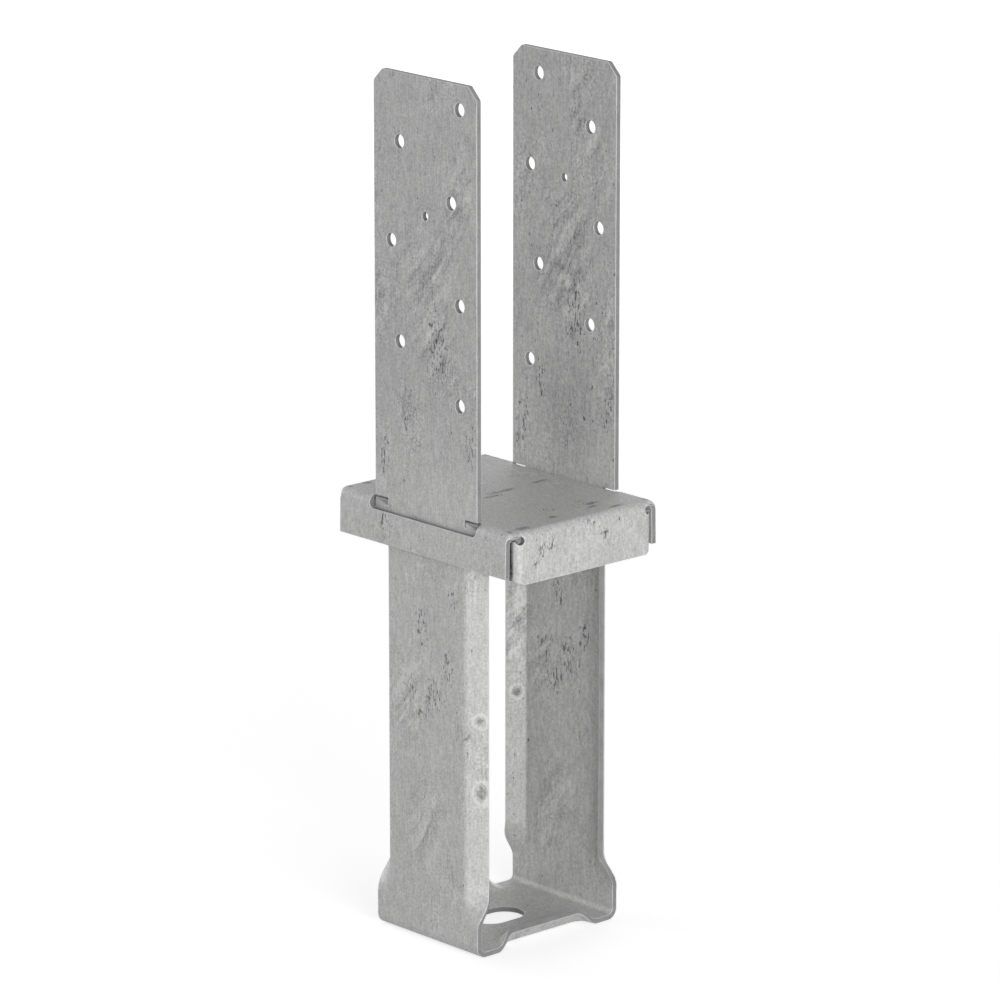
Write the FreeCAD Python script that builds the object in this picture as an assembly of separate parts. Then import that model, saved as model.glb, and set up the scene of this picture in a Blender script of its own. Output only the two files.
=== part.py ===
import FreeCAD, Part
import math
import os

# Standoff column base for a square timber post: one folded strap and one folded tray.
# The strap is a deep U. Its two ends are screwed to the post and its loop is cast into concrete.
# The tray hangs over the strap at the concrete's surface and keeps the post's end dry.
# Frame: Z up, origin under the middle of the U's web. The straps stand at -Y and +Y.

# Strap, a single strip of sheet
strap_width = 76.2
strap_sheet = 2.74
post_space = 91.0
total_height = 447.7
foot_bend_inner = 3.0
top_chamfer = 6.35
chamfer_round = 2.0

# Screw holes, measured down from the strap's top edge and out from its middle line
screw_hole = 7.14
first_row_depth = 12.7
second_row_step = 22.2
row_pitch = 25.4
row_count = 7
wide_offset = 25.4
narrow_offset = 19.05
pilot_hole = 4.5
front_pilot_depth = 69.8
back_pilot_depth = 63.5

# Neck that passes the tray, between the notches under the shoulders
neck_width = 57.2
shoulder_gap = 0.4

# Stiffening wings folded inward along the legs and upward along the web
leg_flat = 54.2
wing_angle = 45.0
wing_bend_inner = 1.26
leg_wing = 10.4
web_wing = 9.1
leg_foot = 15.1
leg_runout = 22.9
leg_swell = 1.9
web_foot = 14.0
web_runout = 12.2
runout_steps = 4
flow_hole_width = 20.6
flow_hole_length = 30.6

# Tray, a second piece of sheet
tray_sheet = 2.74
tray_width = 130.8
plate_top = 228.1
tray_bend_inner = 2.0
tray_corner = 5.0
end_flange_inset = 3.15
end_flange_drop = 23.3
end_flange_lean = 1.0
side_flange_drop = 27.0
curl_radius = 5.0
curl_angle = 100.0
curl_gap = 2.0
curl_rise = 2.1
relief_hole = 4.6
relief_round = 1.6
relief_drop = 4.1
relief_inset = 2.9
slot_length = 80.2
slot_drop = 6.4
slot_round = 3.0
leg_gap = 0.1
slot_gap = 0.3
tongue_drop = 1.0

# Sizes that follow
strap_outer = post_space / 2 + strap_sheet
strap_inner = post_space / 2
plate_under = plate_top - tray_sheet
shoulder = plate_top + shoulder_gap
bend_start = leg_flat / 2
wing_turn = math.radians(wing_angle)
wing_bend = wing_turn * (wing_bend_inner + strap_sheet / 2)
tray_bend_outer = tray_bend_inner + tray_sheet
tray_end = strap_outer + leg_gap + tray_sheet
tray_side = tray_width / 2
end_flange_half = tray_side - end_flange_inset
curl_face = tray_end - tray_sheet - curl_gap
bend_foot = plate_top - tray_bend_outer
bend_line = tray_end - tray_bend_outer
slot_low = plate_top - slot_drop
slot_middle = neck_width / 2 + slot_gap
tongue_under = plate_under - tongue_drop
tongue_top = plate_top - tongue_drop
relief_line = curl_face - relief_inset
margin = 5.0


def vec(x, y, z):
    return FreeCAD.Vector(x, y, z)


def block(x0, x1, y0, y1, z0, z1):
    return Part.makeBox(x1 - x0, y1 - y0, z1 - z0, vec(x0, y0, z0))


def edges_along(shape, axis, keep):
    # Straight edges that run along an axis and whose middle the test accepts.
    found = []
    for edge in shape.Edges:
        if not isinstance(edge.Curve, Part.Line):
            continue
        if abs(abs(edge.Curve.Direction.dot(axis)) - 1) > 1e-6:
            continue
        if keep(edge.CenterOfMass):
            found.append(edge)
    return found


def both_sides(shape, normal):
    return [shape, shape.mirror(vec(0, 0, 0), normal)]


def all_quarters(shape):
    halves = both_sides(shape, vec(1, 0, 0))
    return [copy for half in halves for copy in both_sides(half, vec(0, 1, 0))]


def folded_strip():
    # The plain U, at the strip's full width all the way round.
    half = strap_width / 2
    outer = block(-half, half, -strap_outer, strap_outer, 0, total_height)
    inner = block(-half, half, -strap_inner, strap_inner, strap_sheet, total_height + margin)
    along = vec(1, 0, 0)
    outer_bends = edges_along(outer, along, lambda p: p.z < strap_sheet / 2)
    inner_bends = edges_along(inner, along, lambda p: p.z < 2 * strap_sheet)
    outer = outer.makeFillet(foot_bend_inner + strap_sheet, outer_bends)
    inner = inner.makeFillet(foot_bend_inner, inner_bends)
    return outer.cut(inner)


def clip_top_corners(strip):
    # Each strap's top corners are cut across, and the cut's two ends are eased.
    along = vec(0, 1, 0)
    strip = strip.makeChamfer(top_chamfer, edges_along(strip, along, lambda p: p.z > total_height - 1e-3))
    low = total_height - top_chamfer
    ends = edges_along(strip, along, lambda p: p.z > low - 1e-3)
    return strip.makeFillet(chamfer_round, ends)


def wing_section(share, wing, swell, place):
    # Section of one wing, from the bend's start outward, where it has turned by a share of its angle.
    # The bend keeps its length along the sheet, so the less it turns the wider its radius.
    # Half-way through the turn the edge is drawn out by the swell.
    # place(x, depth) puts a point in space, with depth measured inward from the outer face.
    turn = share * wing_turn
    unbent = strap_width / 2 - bend_start - wing_bend
    length = unbent + share ** 3 * (wing - unbent) + 4 * swell * share * (1 - share)

    def on_bend(part, depth):
        if share == 0:
            return place(bend_start + part * wing_bend, depth)
        axis = wing_bend / turn + strap_sheet / 2
        radius = axis - depth
        return place(bend_start + radius * math.sin(part * turn), axis - radius * math.cos(part * turn))

    def bend_edge(depth):
        if share == 0:
            return Part.makeLine(on_bend(0, depth), on_bend(1, depth))
        return Part.Arc(on_bend(0, depth), on_bend(0.5, depth), on_bend(1, depth)).toShape()

    beyond = place(length * math.cos(turn), length * math.sin(turn)) - place(0, 0)
    outer, inner = on_bend(1, 0), on_bend(1, strap_sheet)
    edges = [
        bend_edge(0),
        Part.makeLine(outer, outer + beyond),
        Part.makeLine(outer + beyond, inner + beyond),
        Part.makeLine(inner + beyond, inner),
        bend_edge(strap_sheet),
        Part.makeLine(on_bend(0, strap_sheet), on_bend(0, 0)),
    ]
    return Part.Wire(Part.sortEdges(edges)[0])


def wing_solids(wing, swell, flat_at, full_at, end_at, at):
    # The run-out, in which the wing turns smoothly from flat to full, and the straight wing after it.
    sections = []
    for step in range(runout_steps + 1):
        along = step / runout_steps
        share = along * along * (3 - 2 * along)
        sections.append(wing_section(share, wing, swell, at(flat_at + along * (full_at - flat_at))))
    straight = at(end_at)(0, 0) - at(full_at)(0, 0)
    return [Part.makeLoft(sections, True, False), Part.Face(sections[-1]).extrude(straight)]


def leg_wing_solids():
    # A wing along one leg, flat at the foot and again inside the tray. Its two halves meet half-way.
    def at(z):
        return lambda x, depth: vec(x, depth - strap_outer, z)

    middle = (leg_foot + slot_low) / 2
    lower = wing_solids(leg_wing, leg_swell, leg_foot, leg_foot + leg_runout, middle, at)
    upper = wing_solids(leg_wing, leg_swell, slot_low, slot_low - leg_runout, middle, at)
    return lower + upper


def web_wing_solids():
    # A wing along one half of the web, flat at the foot.
    def at(y):
        return lambda x, depth: vec(x, y, depth)

    flat_at = web_foot - strap_outer
    return wing_solids(web_wing, 0, flat_at, flat_at + web_runout, 0, at)


def side_cuts():
    # What the plain U gives up to the wings beside the legs and the web.
    beyond = strap_width / 2 + margin
    reach = strap_outer + margin
    web_end = strap_outer - web_foot
    leg = block(bend_start, beyond, -reach, reach, leg_foot, slot_low)
    web = block(bend_start, beyond, -web_end, web_end, -margin, strap_sheet + margin)
    return [copy for cut in (leg, web) for copy in both_sides(cut, vec(1, 0, 0))]


def notches():
    # Notches beside both necks, which take the plate's tongues under the shoulders.
    reach = strap_outer + margin
    notch = block(neck_width / 2, strap_width / 2 + margin, -reach, reach, tongue_under, shoulder)
    return both_sides(notch, vec(1, 0, 0))


def strap_hole(x, depth, diameter, side):
    # A hole through one strap. side is -1 for the front strap and 1 for the back one.
    start = strap_inner - margin if side > 0 else -strap_outer - margin
    return Part.makeCylinder(diameter / 2, strap_sheet + 2 * margin,
                             vec(x, start, total_height - depth), vec(0, 1, 0))


def row_depth(row):
    if row == 0:
        return first_row_depth
    return first_row_depth + second_row_step + (row - 1) * row_pitch


def screw_holes():
    # The screws stagger from side to side so that they split no grain and miss each other in the post.
    # The two straps carry the same zigzag, a row apart.
    zigzag = [wide_offset, -narrow_offset, narrow_offset, -wide_offset]
    front = [zigzag[row % 4] for row in range(row_count)]
    back = [zigzag[(row + 1) % 4] for row in range(row_count)]
    front[-1] = wide_offset  # the front strap's lowest hole stays on the outer line
    holes = []
    for row in range(row_count):
        holes.append(strap_hole(front[row], row_depth(row), screw_hole, -1))
        holes.append(strap_hole(back[row], row_depth(row), screw_hole, 1))
    holes.append(strap_hole(0, front_pilot_depth, pilot_hole, -1))
    holes.append(strap_hole(0, back_pilot_depth, pilot_hole, 1))
    return holes


def flow_hole():
    # Long hole in the web that lets the concrete run through.
    radius = flow_hole_width / 2
    straight = flow_hole_length / 2 - radius
    depth = strap_sheet + 2 * margin
    middle = block(-radius, radius, -straight, straight, -margin, depth - margin)
    ends = [Part.makeCylinder(radius, depth, vec(0, y, -margin)) for y in (-straight, straight)]
    return middle.fuse(ends)


def u_strap():
    body = clip_top_corners(folded_strip()).cut(side_cuts())
    wings = [copy for piece in leg_wing_solids() + web_wing_solids() for copy in all_quarters(piece)]
    body = body.fuse(wings).removeSplitter()
    return body.cut(notches() + screw_holes() + [flow_hole()])


def tray_lid():
    # The top plate with its bends and rounded corners, down to where the bends end.
    low = bend_foot - margin

    def shell(inset):
        side, end = tray_side - inset, tray_end - inset
        body = block(-side, side, -end, end, low, plate_top - inset)
        body = body.makeFillet(tray_corner - inset, edges_along(body, vec(0, 0, 1), lambda p: True))
        top = max(body.Faces, key=lambda face: face.CenterOfMass.z)
        return body.makeFillet(tray_bend_outer - inset, top.Edges)

    below = block(-tray_side, tray_side, -tray_end, tray_end, low, bend_foot)
    return shell(0).cut([shell(tray_sheet), below])


def end_flange():
    # Flange outside one leg. It leans out a little towards its lower edge.
    drop = end_flange_drop - tray_bend_outer
    out = drop * math.tan(math.radians(end_flange_lean))
    corners = [(tray_end, bend_foot), (tray_end + out, bend_foot - drop),
               (tray_end + out - tray_sheet, bend_foot - drop), (tray_end - tray_sheet, bend_foot)]
    outline = Part.makePolygon([vec(-end_flange_half, y, z) for y, z in corners + corners[:1]])
    return Part.Face(outline).extrude(vec(2 * end_flange_half, 0, 0))


def side_flange():
    # Flange beside the post, with both ends curled in behind the end flanges. The curls' lower edges rise.
    low = plate_top - side_flange_drop
    height = bend_foot - low
    curl_end = curl_face - curl_radius
    wall = block(tray_side - tray_sheet, tray_side, -curl_end, curl_end, low, bend_foot)
    centre = vec(tray_side - curl_radius, curl_end, low)
    outer = Part.makeCylinder(curl_radius, height, centre, vec(0, 0, 1), curl_angle)
    inner = Part.makeCylinder(curl_radius - tray_sheet, height, centre, vec(0, 0, 1), curl_angle)
    rise = [(curl_end, low), (curl_face, low + curl_rise), (curl_face, low)]
    outline = Part.makePolygon([vec(tray_side - 2 * curl_radius, y, z) for y, z in rise + rise[:1]])
    curl = outer.cut([inner, Part.Face(outline).extrude(vec(2 * curl_radius, 0, 0))])
    return wall.fuse(both_sides(curl, vec(0, 1, 0)))


def strap_slot():
    # Slot along one bend, wide enough for the strap to drop through, and deeper into the plate for the neck.
    half = slot_length / 2
    slot = block(-half, half, bend_line, tray_end + margin, slot_low, plate_top + margin)
    lower = edges_along(slot, vec(0, 1, 0), lambda p: p.z < plate_top)
    neck = block(-slot_middle, slot_middle, strap_inner - slot_gap, strap_outer,
                 plate_under - margin, plate_top + margin)
    return slot.makeFillet(slot_round, lower).fuse(neck)


def tongue(low, high):
    # The place of one of the plate's tongues, beside a neck and under a shoulder, between two heights.
    return block(slot_middle, strap_width / 2 + slot_gap, strap_inner - slot_gap, strap_outer - slot_gap,
                 low, high)


def corner_relief():
    # Relief under the corner where two bends meet, from the end flange's end to a hole in the side flange.
    start = end_flange_half
    end = tray_side + margin
    middle = plate_top - relief_drop
    hole = Part.makeCylinder(relief_hole / 2, end - start, vec(start, relief_line, middle), vec(1, 0, 0))
    passage = block(start, end, relief_line, tray_end + margin, bend_foot, middle + relief_round)
    inner_top = edges_along(passage, vec(0, 1, 0), lambda p: p.x < start + 1e-3 and p.z > middle)
    return hole.fuse(passage.makeFillet(relief_round, inner_top))


def standoff_base():
    # The plate's tongues are pressed down a little. They enter the notches and rest on the legs.
    flanges = both_sides(end_flange(), vec(0, 1, 0)) + both_sides(side_flange(), vec(1, 0, 0))
    tray = tray_lid().fuse(flanges).removeSplitter()
    openings = both_sides(strap_slot(), vec(0, 1, 0)) + all_quarters(corner_relief())
    tray = tray.cut(openings + all_quarters(tongue(tongue_top, shoulder)))
    return tray.fuse(all_quarters(tongue(tongue_under, tongue_top))).removeSplitter()


def write(name, shape):
    solids = shape.Solids
    solid = solids[0] if len(solids) == 1 else shape
    solid.exportStep(f"parts/{name}.step")
    box = solid.BoundBox
    print(name, len(solids), "solid", solid.isValid(), round(solid.Volume), "mm3",
          [round(v, 2) for v in (box.XMin, box.XMax, box.YMin, box.YMax, box.ZMin, box.ZMax)])


os.makedirs("parts", exist_ok=True)
write("u_strap", u_strap())
write("standoff_base", standoff_base())
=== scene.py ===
import math

import bpy
from mathutils import Matrix, Vector
from mathutils.bvhtree import BVHTree


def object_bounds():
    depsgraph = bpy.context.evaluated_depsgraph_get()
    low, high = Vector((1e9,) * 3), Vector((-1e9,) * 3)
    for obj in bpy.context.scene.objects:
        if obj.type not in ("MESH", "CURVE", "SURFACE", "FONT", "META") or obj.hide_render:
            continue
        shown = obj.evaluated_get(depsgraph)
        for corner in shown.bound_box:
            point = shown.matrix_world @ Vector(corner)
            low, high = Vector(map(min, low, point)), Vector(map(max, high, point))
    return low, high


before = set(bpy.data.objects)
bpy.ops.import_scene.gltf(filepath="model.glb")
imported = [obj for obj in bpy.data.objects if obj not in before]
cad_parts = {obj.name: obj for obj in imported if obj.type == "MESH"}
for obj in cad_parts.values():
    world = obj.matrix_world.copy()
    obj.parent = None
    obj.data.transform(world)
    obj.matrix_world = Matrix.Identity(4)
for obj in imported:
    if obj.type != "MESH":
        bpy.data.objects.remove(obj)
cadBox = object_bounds()
print("loaded", sorted(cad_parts))

white = (1, 1, 1, 1)

# what all the materials share
sharedLook = {
    "mmPerMetre": 1000,
    "noiseMiddle": 0.5,
    "noiseStray": 0.25,              # how far noise mostly strays from its middle
    "patchEase": (1.0, 0.3),         # a patch fades in between these shares of its reach
    "bevelSamples": 6,
    "cornerTurn": (0.985, 0.88),     # cosines of the turn where a corner starts and is full
    "bumpStrength": 0.6,
}


class Value:
    # one output socket; sums written with it become Math nodes
    def __init__(self, nodes, socket):
        self.nodes = nodes
        self.socket = socket

    def __add__(self, other):
        return self.nodes.maths("ADD", self, other)

    def __radd__(self, other):
        return self.nodes.maths("ADD", other, self)

    def __sub__(self, other):
        return self.nodes.maths("SUBTRACT", self, other)

    def __rsub__(self, other):
        return self.nodes.maths("SUBTRACT", other, self)

    def __mul__(self, other):
        return self.nodes.maths("MULTIPLY", self, other)

    def __rmul__(self, other):
        return self.nodes.maths("MULTIPLY", other, self)


class Nodes:
    # a node tree that is filled from its first node
    def __init__(self, tree):
        self.tree = tree
        tree.nodes.clear()

    def make(self, kind, settings=None, sockets=None, output=0):
        node = self.tree.nodes.new(kind)
        for key, value in (settings or {}).items():
            setattr(node, key, value)
        for key, value in (sockets or {}).items():
            if isinstance(value, Value):
                self.tree.links.new(value.socket, node.inputs[key])
            else:
                node.inputs[key].default_value = value
        return Value(self, node.outputs[output]) if node.outputs else None

    def maths(self, operation, left, right=0.0):
        return self.make("ShaderNodeMath", {"operation": operation}, {0: left, 1: right})

    def vectors(self, operation, sockets, output=0):
        return self.make("ShaderNodeVectorMath", {"operation": operation}, sockets, output)

    def place(self):
        # millimetres in the part's own frame
        metres = self.make("ShaderNodeTexCoord", output="Object")
        return self.vectors("SCALE", {0: metres, "Scale": sharedLook["mmPerMetre"]})

    def slanted(self, place, angle):
        # Z leans over towards +X by the angle
        return self.make("ShaderNodeVectorRotate", {"rotation_type": "Y_AXIS"},
                         {"Vector": place, "Angle": -math.radians(angle)})

    def noise(self, place, size, detail=1.0, distortion=0.0, output=0):
        # marks of this size in millimetres
        scaled = self.vectors("DIVIDE", {0: place, 1: size})
        sockets = {"Vector": scaled, "Scale": 1.0, "Detail": detail, "Distortion": distortion}
        return self.make("ShaderNodeTexNoise", None, sockets, output)

    def swing(self, place, size, detail=1.0, distortion=0.0):
        # noise about 0
        return self.noise(place, size, detail, distortion) - sharedLook["noiseMiddle"]

    def wobbled(self, place, size, amount):
        # bends a pattern's outlines by about this many millimetres
        sway = self.noise(place, size, output="Color")
        sway = self.vectors("SUBTRACT", {0: sway, 1: (sharedLook["noiseMiddle"],) * 3})
        sway = self.vectors("SCALE", {0: sway, "Scale": amount / sharedLook["noiseStray"]})
        return self.vectors("ADD", {0: place, 1: sway})

    def ramp(self, value, low, high):
        # 0 at low and 1 at high, eased
        return self.make("ShaderNodeMapRange", {"interpolation_type": "SMOOTHSTEP"},
                         {"Value": value, "From Min": low, "From Max": high})

    def reach(self, place, middle, size, lean=0.0):
        # distance from a patch's middle, 1 at its rim
        scaled = self.make("ShaderNodeMapping", {"vector_type": "TEXTURE"}, {
            "Vector": place, "Location": middle, "Rotation": (0, math.radians(lean), 0), "Scale": size})
        return self.vectors("LENGTH", {0: scaled}, "Value")

    def patches(self, place, spots):
        # 1 within any of the patches, easing to 0 at their rims
        cover = 0.0
        for spot in spots:
            near = self.ramp(self.reach(place, *spot), *sharedLook["patchEase"])
            cover = self.maths("MAXIMUM", cover, near)
        return cover

    def summed(self, layers, weights):
        # the named layers added up by their weights
        total = 0.0
        for name, weight in weights.items():
            total = total + weight * layers[name]
        return total

    def mixed(self, factor, first, second):
        # the node's colours are its sockets 6 and 7 and its output 2
        sockets = {0: factor, 6: first, 7: second}
        return self.make("ShaderNodeMix", {"data_type": "RGBA"}, sockets, output=2)

    def eased(self, radius):
        # the normal of a slightly rounded corner, and how near the corner is
        rounded = self.make("ShaderNodeBevel", {"samples": sharedLook["bevelSamples"]},
                            {"Radius": radius / sharedLook["mmPerMetre"]})
        flat = self.make("ShaderNodeNewGeometry", output="Normal")
        along = self.vectors("DOT_PRODUCT", {0: rounded, 1: flat}, "Value")
        return rounded, self.ramp(along, *sharedLook["cornerTurn"])

    def steel(self, colour, roughness, height, corner, look):
        normal = self.make("ShaderNodeBump", None, {
            "Height": height, "Normal": corner, "Strength": sharedLook["bumpStrength"],
            "Distance": look["bumpMm"] / sharedLook["mmPerMetre"]})
        shader = self.make("ShaderNodeBsdfPrincipled", None, {
            "Base Color": colour, "Roughness": roughness, "Normal": normal,
            "Metallic": look["metallic"]})
        self.make("ShaderNodeOutputMaterial", None, {"Surface": shader})


def newMaterial(name):
    material = bpy.data.materials.new(name)
    material.use_nodes = True
    return material, Nodes(material.node_tree)


# zinc skin on both faces of the sheets; a patch is its middle and reach in millimetres,
# and the degrees by which it leans towards +X if it does
zincLook = {
    "dark": (0.07, 0.071, 0.073, 1),     # bottoms of the pits
    "light": (0.66, 0.66, 0.655, 1),     # brightest bare zinc
    # painted highlight: a paler colour painted along the rounded corners
    "paintedHighlight": (0.9, 0.9, 0.895, 1),      # along the corners
    "tone": 0.61,                        # the plain skin between dark and light
    "metallic": 0.1,
    "roughness": 0.5,
    "bumpMm": 0.1,
    "cornerMm": 0.85,
    # painted light: the skin is painted paler towards the bottom, between these heights, as if more
    # light fell low down
    "paintedLightBelow": (300, 215),                 # the skin grows paler down between these heights

    # sizes of the noise
    "broadMm": (45, 45, 70),             # slow drift from place to place
    "cloudMm": (9, 9, 15),
    "blotMm": (2.6, 2.6, 4.4),
    "grainMm": (1.0, 1.0, 1.2),
    "dragMm": (1.0, 1.0, 8),             # drawing marks up the strip
    "streakMm": (6, 6, 90),              # runs of the zinc bath
    "ridgeMm": (2.4, 2.4, 70),
    "pitMm": (1.1, 1.1, 3.0),
    "dentMm": (2.2, 2.2, 4.4),           # larger pits
    "busyMm": (24, 24, 46),

    # wobbles: their size and how far they bend, in millimetres
    "loose": ((14, 14, 14), 3.0),
    "swirl": ((4, 4, 5), 0.7),
    "streakBend": ((34, 34, 54), 4.5),

    # busy places, where the fine marks are stronger
    "busyFrom": (-0.02, 0.2),
    "calm": 0.75,
    "busier": 0.5,

    # streaks, strong in the runs and weaker in some places outside them
    "streakSlant": 38,                   # degrees off upright
    "ridgeShare": 0.8,
    "outside": 0.5,
    "outsideFrom": (0.06, 0.2),

    # pits: how much deeper they are in clusters and busy places, and where they begin
    "pitCrowd": 0.16,
    "pitBusy": 0.03,
    "dentCrowd": 0.07,
    "pitLess": 0.03,
    "pitGrain": 0.2,                     # breaks up their outlines
    "pitDepth": (0.2, 0.26),
    "rimRise": (0.13, 0.19),             # pale rims round the pits
    "rimFall": (0.19, 0.22),
    "speckCrowd": 0.1,
    "speckDepth": (0.23, 0.3),

    # a knot's rings: where each fades in, and how pale it is
    "knotRings": [((1.0, 0.85), 0.24), ((0.7, 0.6), -0.3), ((0.5, 0.35), -0.4)],

    # weights of the layers
    "fineOf": {"blot": 0.3, "grain": 0.8, "drag": 0.45},
    "toneOf": {"driftAndPaintedLight": 0.145, "cloud": 0.11, "fine": 1.0, "streak": 1.2, "rims": 0.1, "knots": 0.8,
               "paintedHighlightAndStreak": 0.12, "paintedShade": -0.13, "stains": -0.48, "scratches": -0.3, "pits": -0.5,
               "specks": -0.22, "paintedGapShade": -0.7},
    "roughnessOf": {"cloud": 0.12, "pits": 0.2},
    "reliefOf": {"blot": 0.3, "grain": 0.15, "streak": 1.0, "knots": 0.5, "pits": -1.0},

    # patches
    "runs": [((2, 0, 342), (34, 90, 66)), ((24, 0, 392), (16, 90, 40)),
             ((-4, 0, 56), (22, 90, 34)), ((-14, 0, 128), (20, 90, 44)),
             ((-32, 42, 142), (9, 12, 36))],
    "clusters": [((8, 0, 316), (12, 170, 34)), ((34, 0, 268), (6, 170, 16)),
                 ((-17, 0, 272), (6, 110, 18)), ((-31, 0, 250), (6, 170, 26)),
                 ((5, 0, 132), (12, 170, 18)), ((17, 0, 150), (8, 170, 14)),
                 ((-13, 0, 135), (8, 170, 12)), ((-3, 0, 168), (8, 170, 18)),
                 ((20, 0, 186), (6, 170, 12)), ((65, -31, 216), (9, 5, 14)),
                 ((65, -24, 220), (9, 9, 6)), ((65, 4, 222), (9, 9, 5)),
                 ((65, 11, 217), (9, 6, 5)), ((44, 20, 228), (12, 8, 4)),
                 ((42, -5, 228), (8, 8, 4)), ((2, -3, 228), (12, 7, 4)),
                 ((-62, -33, 227), (7, 7, 6)), ((-28, -51, 214), (8, 6, 12)),
                 ((-4, 0, 120), (12, 170, 9))],
    "knots": [((33.3, -41.7, 123.6), (4.6, 4.6, 5.4)), ((33.7, -41.3, 86), (5.6, 5.6, 8.5)),
              ((-31, 42, 107.5), (4.8, 4.8, 4.8))],
    "stains": [((-0.5, 5, 228), (2.4, 11, 4)), ((4, -9, 228), (2, 8, 4)),
               ((47, 21, 228), (2, 6, 4)), ((52, 17, 228), (1.6, 5, 4)),
               ((59, 26, 228), (1.8, 7, 4)), ((53.5, -11, 228), (2.6, 3.6, 4)),
               ((59, -37, 227), (3, 7, 4)), ((-59, -36, 227), (4, 4, 4)),
               ((-2, 30, 228), (2, 9, 4)), ((-63, -24, 226.5), (2, 6, 3))],
    "scratches": [((-19.5, 0, 116.6), (1.1, 90, 10), 35), ((28.9, -46.2, 114.2), (1.1, 6, 5), 34)],
    # painted shade: a darker patch low on the far strap's inner face, where the near strap and the
    # plate shade it
    "paintedShade": [((1, 46, 262), (34, 12, 40))],
    # the first patch is a painted highlight where the near wing runs out at the foot; the second is a
    # pale slanted streak on the strap
    "paintedHighlightAndStreak": [((31, -44, 31), (6, 8, 10)), ((-13.8, 0, 357), (1.6, 90, 9), 36)],
    # painted shade: dark strips in the gaps between the tray's flanges at the corners
    "paintedGapShade": [((59.6, 46.4, 210), (3.6, 1.9, 34)), ((60.5, 44, 224), (4.6, 3.4, 3.4))],
}


def zincSkin(name, look):
    material, n = newMaterial(name)
    place = n.place()
    loose = n.wobbled(place, *look["loose"])
    swirl = n.wobbled(place, *look["swirl"])
    # corner is the rounded corners' normal; highlightWeight says where the painted corner highlight
    # goes
    corner, highlightWeight = n.eased(look["cornerMm"])

    runs = n.patches(loose, look["runs"])
    clusters = n.patches(loose, look["clusters"])
    patchy = n.swing(place, look["busyMm"], detail=2.0)
    marked = n.maths("MAXIMUM", runs, clusters)
    busy = n.maths("MAXIMUM", n.ramp(patchy, *look["busyFrom"]), marked)

    height = n.make("ShaderNodeSeparateXYZ", None, {0: place}, output="Z")
    # a random drift in tone, plus painted light that makes the skin paler towards the bottom
    driftAndPaintedLight = n.swing(place, look["broadMm"], detail=2.0) + n.ramp(height, *look["paintedLightBelow"])
    cloud = n.swing(place, look["cloudMm"], detail=2.0, distortion=0.5)
    layers = {"driftAndPaintedLight": driftAndPaintedLight, "cloud": cloud}
    for kind in ("blot", "grain", "drag"):
        layers[kind] = n.swing(place, look[kind + "Mm"])
    layers["fine"] = n.summed(layers, look["fineOf"]) * (look["calm"] + look["busier"] * busy)

    slant = n.slanted(n.wobbled(place, *look["streakBend"]), look["streakSlant"])
    streak = n.swing(slant, look["streakMm"]) + look["ridgeShare"] * n.swing(slant, look["ridgeMm"])
    outside = look["outside"] * n.ramp(patchy, *look["outsideFrom"])
    layers["streak"] = streak * n.maths("MAXIMUM", runs, outside)

    pit = n.swing(place, look["pitMm"]) + look["pitCrowd"] * clusters + look["pitBusy"] * busy
    dent = n.swing(place, look["dentMm"]) + look["dentCrowd"] * clusters
    depth = n.maths("MAXIMUM", pit, dent) - look["pitLess"] + look["pitGrain"] * layers["grain"]
    layers["pits"] = n.ramp(depth, *look["pitDepth"])
    layers["rims"] = n.ramp(depth, *look["rimRise"]) - n.ramp(depth, *look["rimFall"])
    layers["specks"] = n.ramp(layers["grain"] + look["speckCrowd"] * clusters, *look["speckDepth"])

    layers["knots"] = 0.0
    for middle, size in look["knots"]:
        far = n.reach(swirl, middle, size)
        for edges, paleness in look["knotRings"]:
            layers["knots"] = layers["knots"] + paleness * n.ramp(far, *edges)
    for kind, bent in (("stains", swirl), ("scratches", swirl), ("paintedHighlightAndStreak", loose), ("paintedShade", loose)):
        layers[kind] = n.patches(bent, look[kind])
    # painted shade in the gaps at the tray's four corners; the corners are alike, so the shade is
    # placed once
    corners = n.vectors("ABSOLUTE", {0: place})
    layers["paintedGapShade"] = n.patches(corners, look["paintedGapShade"])

    tone = look["tone"] + n.summed(layers, look["toneOf"])
    skin = n.mixed(tone, look["dark"], look["light"])
    # painted highlight along the corners, kept out of the painted shade in the corner gaps
    colour = n.mixed(highlightWeight * (1.0 - layers["paintedGapShade"]), skin, look["paintedHighlight"])
    roughness = look["roughness"] + n.summed(layers, look["roughnessOf"])
    n.steel(colour, roughness, n.summed(layers, look["reliefOf"]), corner, look)
    return material


# sheared edges of the sheets, darker under a thinner coat
edgeLook = {
    "dark": (0.06, 0.061, 0.063, 1),
    "light": (0.36, 0.36, 0.358, 1),
    # painted highlight: a paler colour painted along the corners of the sheared edges
    "paintedHighlight": (0.78, 0.78, 0.775, 1),    # along the corners
    "tone": 0.6,
    "metallic": 0.1,
    "roughness": 0.5,
    "bumpMm": 0.08,
    "cornerMm": 0.85,
    # how much of the painted corner highlight the sheared edges get
    "highlightShare": 0.8,
    "cloudMm": (7, 7, 7),
    "tearMm": (0.8, 0.8, 0.8),
    "toneOf": {"cloud": 0.5, "tear": 0.5},
    "roughnessOf": {"tear": 0.2},
}


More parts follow.
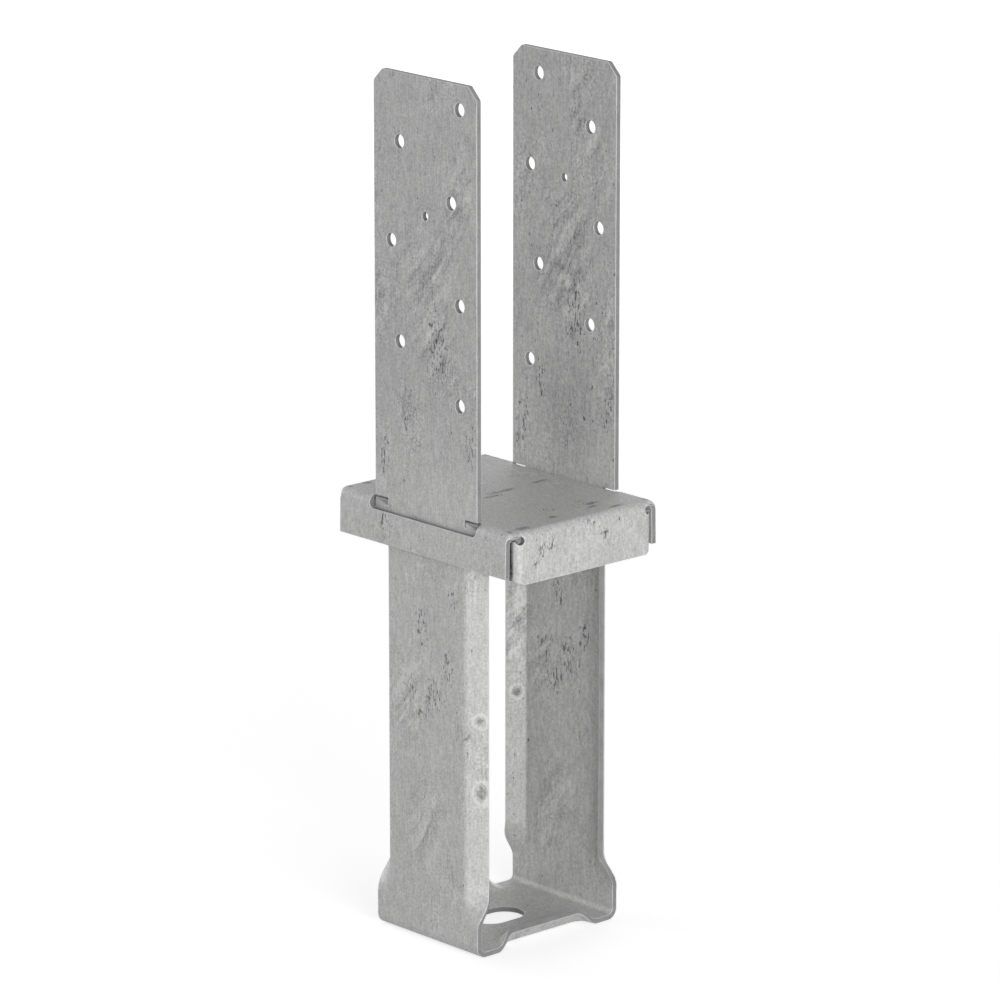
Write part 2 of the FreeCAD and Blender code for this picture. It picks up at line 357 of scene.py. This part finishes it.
def cutEdge(name, look):
    material, n = newMaterial(name)
    place = n.place()
    # corner is the rounded corners' normal; highlightWeight says where the painted corner highlight
    # goes
    corner, highlightWeight = n.eased(look["cornerMm"])
    layers = {"cloud": n.swing(place, look["cloudMm"], detail=3.0),
              "tear": n.swing(place, look["tearMm"], detail=2.0)}
    tone = look["tone"] + n.summed(layers, look["toneOf"])
    skin = n.mixed(tone, look["dark"], look["light"])
    # painted highlight: the corners of the sheared edges are painted paler
    colour = n.mixed(look["highlightShare"] * highlightWeight, skin, look["paintedHighlight"])
    roughness = look["roughness"] + n.summed(layers, look["roughnessOf"])
    n.steel(colour, roughness, layers["tear"], corner, look)
    return material


sheetLook = {
    "start": 1e-5,           # metres under a face, from where the metal is measured
    "thinnest": 0.0016,      # metres of metal under a face of the sheet
    "thickest": 0.0036,
    "weld": 2e-6,            # metres within which corners are one
    "flat": 0.4,             # degrees within which facets join
    "sharp": 50,             # degrees from which two faces meet in a corner
}


def markCutEdges(node, look):
    # a face with more or less metal under it than the sheet is thick is a sheared edge
    mesh = node.data
    tree = BVHTree.FromPolygons([v.co for v in mesh.vertices], [p.vertices for p in mesh.polygons])
    cut = 0
    for polygon in mesh.polygons:
        start = polygon.center - polygon.normal * look["start"]
        depth = tree.ray_cast(start, -polygon.normal)[3]
        edge = depth is None or not look["thinnest"] < depth < look["thickest"]
        polygon.material_index = int(edge)
        cut += edge
    return cut


def evenShading(node, look):
    weld = node.modifiers.new("oneSkin", "WELD")
    weld.merge_threshold = look["weld"]
    flats = node.modifiers.new("flats", "DECIMATE")
    flats.decimate_type = "DISSOLVE"
    flats.angle_limit = math.radians(look["flat"])
    flats.delimit = {"MATERIAL"}
    corners = node.modifiers.new("corners", "EDGE_SPLIT")
    corners.split_angle = math.radians(look["sharp"])
    smooth = node.modifiers.new("evenShade", "WEIGHTED_NORMAL")
    smooth.keep_sharp = False


zinc = zincSkin("zincSkin", zincLook)
edge = cutEdge("cutEdge", edgeLook)
for name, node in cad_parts.items():
    node.data.materials.clear()
    node.data.materials.append(zinc)
    node.data.materials.append(edge)
    cut = markCutEdges(node, sheetLook)
    evenShading(node, sheetLook)
    print("dressed", name, "with", cut, "edge faces of", len(node.data.polygons))


# plain pale floor, white to the camera but for the shadow
floorLook = {
    "size": 14.0,
    "below": 0.0002,
    "colour": (0.6, 0.6, 0.6, 1),
    "lift": (0.665, 0.665, 0.665, 1),       # just enough for white near the part
    "farLift": (0.86, 0.86, 0.86, 1),       # away from the lamps
    "liftMm": (1200, 2400),                 # distances between which the lift changes
}


def seenRays(n):
    # what the camera sees directly, mirrored or through glass
    camera = n.make("ShaderNodeLightPath", output="Is Camera Ray")
    glossy = n.make("ShaderNodeLightPath", output="Is Glossy Ray")
    through = n.make("ShaderNodeLightPath", output="Is Transmission Ray")
    return camera + glossy + through


def paleFloor(look):
    half, z = look["size"] / 2, cadBox[0].z - look["below"]
    corners = [(-half, -half, z), (half, -half, z), (half, half, z), (-half, half, z)]
    mesh = bpy.data.meshes.new("floor")
    mesh.from_pydata(corners, [], [(0, 1, 2, 3)])
    floor = bpy.data.objects.new("floor", mesh)
    bpy.context.scene.collection.objects.link(floor)
    material, n = newMaterial("paleFloor")
    plain = n.make("ShaderNodeBsdfDiffuse", None, {"Color": look["colour"]})
    away = n.vectors("LENGTH", {0: n.place()}, "Value")
    raised = n.mixed(n.ramp(away, *look["liftMm"]), look["lift"], look["farLift"])
    lift = n.make("ShaderNodeEmission", None, {"Color": raised, "Strength": 1.0})
    lifted = n.make("ShaderNodeAddShader", None, {0: plain, 1: lift})
    shader = n.make("ShaderNodeMixShader", None, {0: seenRays(n), 1: plain, 2: lifted})
    n.make("ShaderNodeOutputMaterial", None, {"Surface": shader})
    mesh.materials.append(material)


paleFloor(floorLook)
print("floor")


# soft studio light: a main box at the right, weaker ones round the part and above, and a pale room
lampLook = {
    "target": (0.0, 0.0, 0.22),
    "boxes": {
        "rightBox": {"place": (2.17, -0.76, 0.44), "size": (1.3, 1.3), "watts": 46.5},
        "leftBox": {"place": (-2.3, -0.4, 0.45), "size": (1.2, 1.2), "watts": 23.0},
        "frontBox": {"place": (0.3, -2.2, 0.1), "size": (1.2, 0.4), "watts": 4.4},
        "backBox": {"place": (-0.9, 2.2, 0.45), "size": (1.2, 1.2), "watts": 16.0},
        "topBox": {"place": (0.2, -0.2, 2.2), "size": (1.2, 1.2), "watts": 2.8},
    },
    "room": 0.27,
}


def softBox(name, look, target):
    data = bpy.data.lights.new(name, "AREA")
    data.shape = "RECTANGLE"
    data.size, data.size_y = look["size"]
    data.energy = look["watts"]
    lamp = bpy.data.objects.new(name, data)
    bpy.context.scene.collection.objects.link(lamp)
    lamp.location = look["place"]
    ahead = Vector(target) - Vector(look["place"])
    lamp.rotation_euler = ahead.to_track_quat("-Z", "Y").to_euler()
    lamp.visible_camera = False


def paleRoom(strength):
    world = bpy.data.worlds.new("paleRoom")
    world.use_nodes = True
    n = Nodes(world.node_tree)
    room = n.make("ShaderNodeBackground", None, {"Color": white, "Strength": strength})
    seen = n.make("ShaderNodeBackground", None, {"Color": white, "Strength": 1.0})
    shader = n.make("ShaderNodeMixShader", None, {0: seenRays(n), 1: room, 2: seen})
    n.make("ShaderNodeOutputWorld", None, {"Surface": shader})
    bpy.context.scene.world = world


for name, box in lampLook["boxes"].items():
    softBox(name, box, lampLook["target"])
paleRoom(lampLook["room"])
print("lights")


# a long lens, to keep the straps upright; angles in degrees
cameraLook = {
    "place": (2.16615, -1.97247, 1.01315),
    "heading": 137.653,
    "down": 15.072,
    "lens": 216.083,
    "sensor": 36.0,
}


def longLens(look):
    heading, down = math.radians(look["heading"]), math.radians(look["down"])
    level = math.cos(down)
    ahead = Vector((math.cos(heading) * level, math.sin(heading) * level, -math.sin(down)))
    right = Vector((math.sin(heading), -math.cos(heading), 0.0))
    up = right.cross(ahead)
    data = bpy.data.cameras.new("camera")
    data.lens = look["lens"]
    data.sensor_width = look["sensor"]
    camera = bpy.data.objects.new("camera", data)
    bpy.context.scene.collection.objects.link(camera)
    turn = Matrix((right, up, -ahead)).transposed().to_4x4()
    camera.matrix_world = Matrix.Translation(look["place"]) @ turn
    bpy.context.scene.camera = camera


longLens(cameraLook)
bpy.context.scene.view_settings.view_transform = "Standard"
print("camera")
